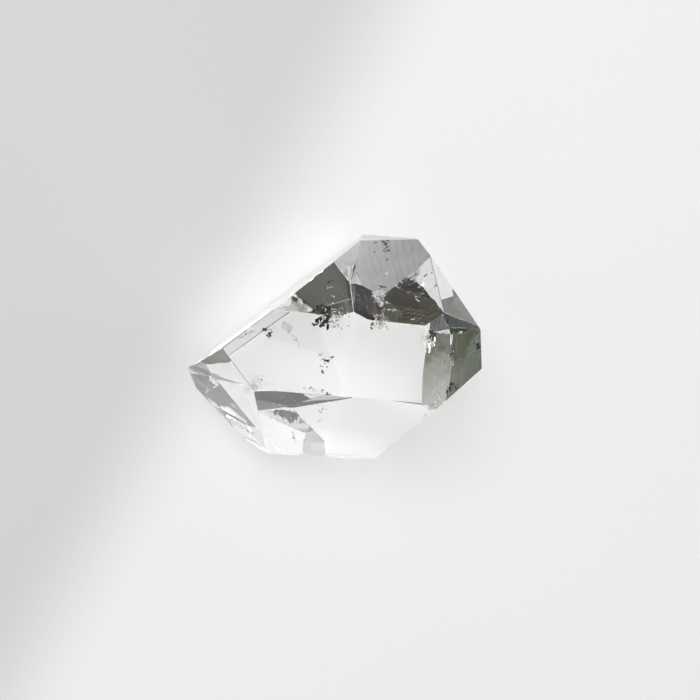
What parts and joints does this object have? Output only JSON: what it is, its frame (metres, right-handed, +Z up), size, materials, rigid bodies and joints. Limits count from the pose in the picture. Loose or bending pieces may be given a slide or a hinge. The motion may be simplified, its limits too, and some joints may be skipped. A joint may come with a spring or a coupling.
{
  "type": "herkimer diamond crystal",
  "caption": "Loose, water-clear quartz crystal, pointed at both ends, with flat bright faces, lying on a small flat lower face.",
  "frame": {"origin": "on the surface the crystal lies on, under the middle of its bounding box", "axes": "+X along the crystal's long axis, towards its blunter end; +Z up from the flat lower face it lies on"},
  "size_m": [0.033, 0.0288, 0.0289],
  "materials": {
    "quartz": "natural bright crystal faces, colourless and see-through, index of refraction 1.544"
  },
  "bodies": {
    "root": {"crystal": "quartz"}
  },
  "joints": []
}
